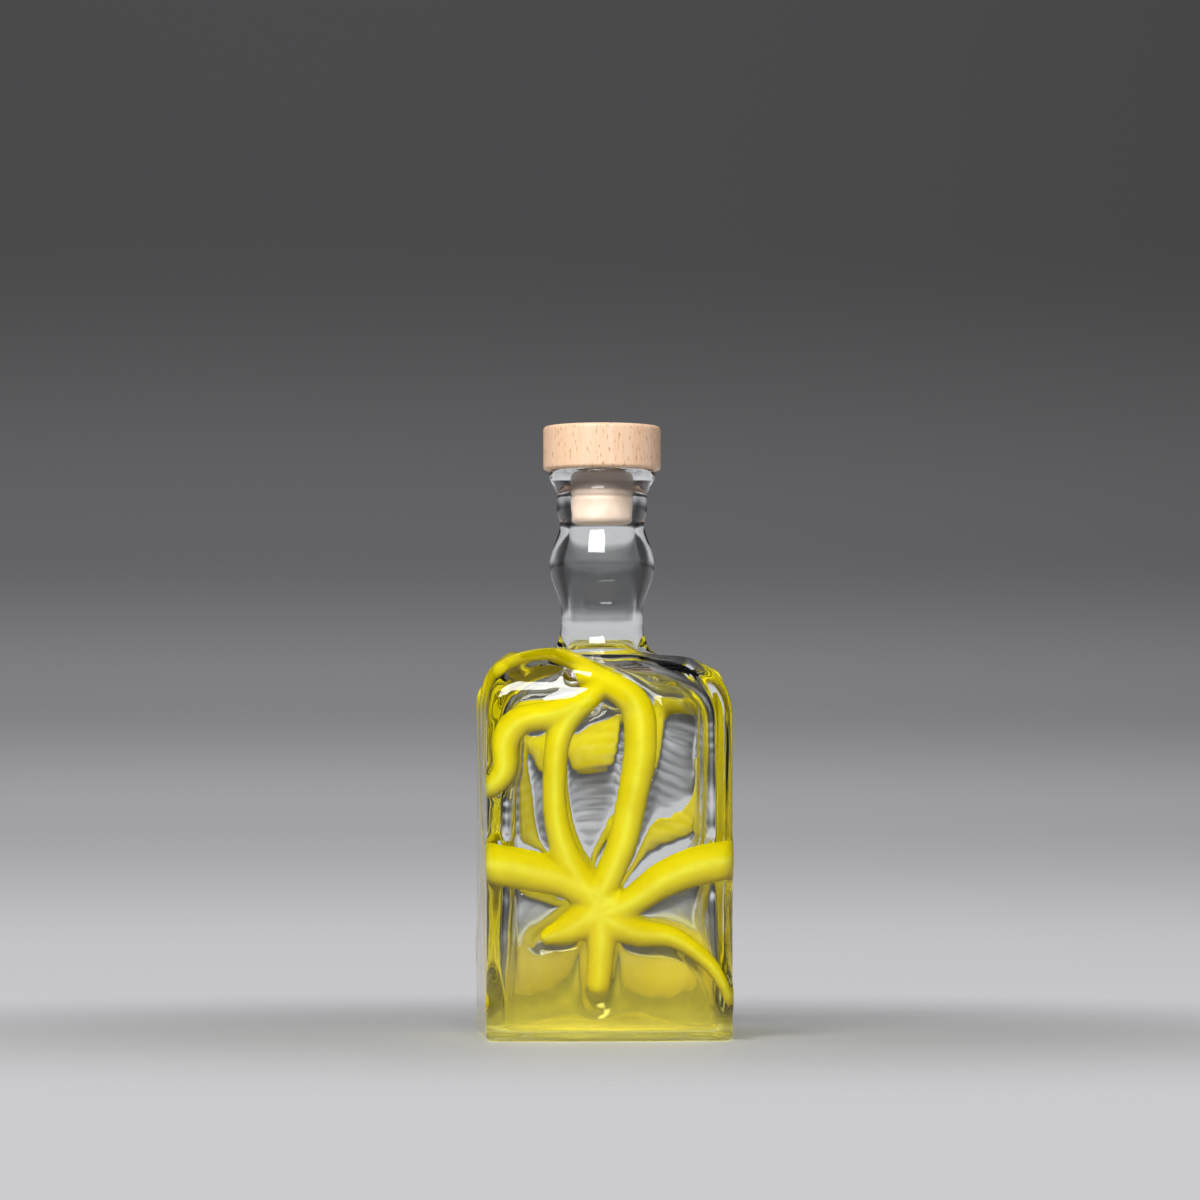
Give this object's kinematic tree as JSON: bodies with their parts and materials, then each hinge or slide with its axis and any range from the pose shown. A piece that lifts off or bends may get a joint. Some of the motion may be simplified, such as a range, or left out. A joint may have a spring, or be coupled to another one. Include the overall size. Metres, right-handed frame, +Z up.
{
  "type": "stoppered glass bottle",
  "caption": "Square clear glass bottle for drinks, with yellow glass trails fused into its wall, a bulged round neck, a flared lip and a stopper with a beech knob.",
  "frame": {"origin": "under the middle of the base, on the surface that the bottle stands on", "axes": "+Z up along the neck, -Y out of the front face, +X to the right as seen from the front"},
  "size_m": [0.081, 0.081, 0.2018],
  "materials": {
    "clear_glass": "clear, fire-polished, with faint chill ripples",
    "yellow_glass": "clear lemon-yellow glass, fire-polished",
    "beech": "sanded beech with short brown flecks, matt oil",
    "cork": "smooth pale moulded cork"
  },
  "bodies": {
    "root": {"bottle_glass": "clear_glass", "yellow_trails": "yellow_glass", "beech_knob": "beech", "cork_shank": "cork"}
  },
  "joints": []
}
